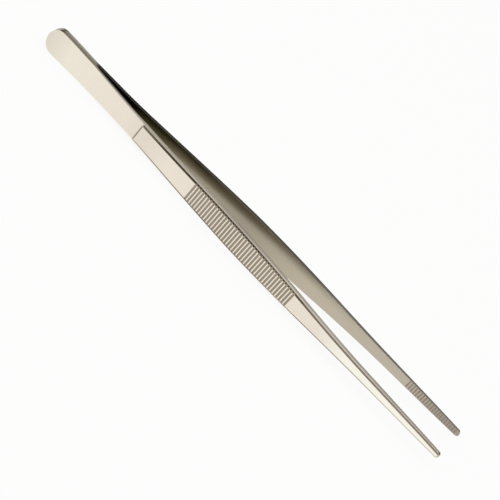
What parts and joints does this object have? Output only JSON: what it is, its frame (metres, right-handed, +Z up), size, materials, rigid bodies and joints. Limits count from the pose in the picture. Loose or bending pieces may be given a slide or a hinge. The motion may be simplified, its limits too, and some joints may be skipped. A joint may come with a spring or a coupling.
{
  "type": "kitchen tongs",
  "caption": "Long straight tweezer tongs in stainless steel, with two leaves welded at the heel, grooved finger grips and narrow toothed jaws.",
  "frame": {"origin": "middle of the underside of the box round the tongs as they lie on their long edges, leaves open at rest", "axes": "+X runs from the welded heel to the tips, +Y is the way the rear leaf opens, +Z is up, across the width of the leaves"},
  "size_m": [0.3, 0.0286, 0.0158],
  "materials": {
    "leaf_steel": "satin ground stainless steel",
    "weld_steel": "ground stainless weld seam"
  },
  "bodies": {
    "heel": {"front_leaf_heel": "leaf_steel", "rear_leaf_heel": "leaf_steel", "heel_weld": "weld_steel"},
    "front_leaf": {"front_leaf_arm": "leaf_steel"},
    "rear_leaf": {"rear_leaf_arm": "leaf_steel"}
  },
  "joints": [
    {"name": "front_leaf_flex", "type": "hinge", "parent": "heel", "child": "front_leaf", "pos_m": [-0.0998, -0.00241, 0.0079], "axis": [0, 0, 1], "range_deg": [0, 2.77], "stiffness_Nm_per_rad": 12},
    {"name": "rear_leaf_flex", "type": "hinge", "parent": "heel", "child": "rear_leaf", "pos_m": [-0.0998, 0.00241, 0.0079], "axis": [0, 0, 1], "range_deg": [-2.77, 0], "stiffness_Nm_per_rad": 12}
  ],
  "couplings": [
    {"joint": "rear_leaf_flex", "follows": "front_leaf_flex", "ratio": -1}
  ]
}
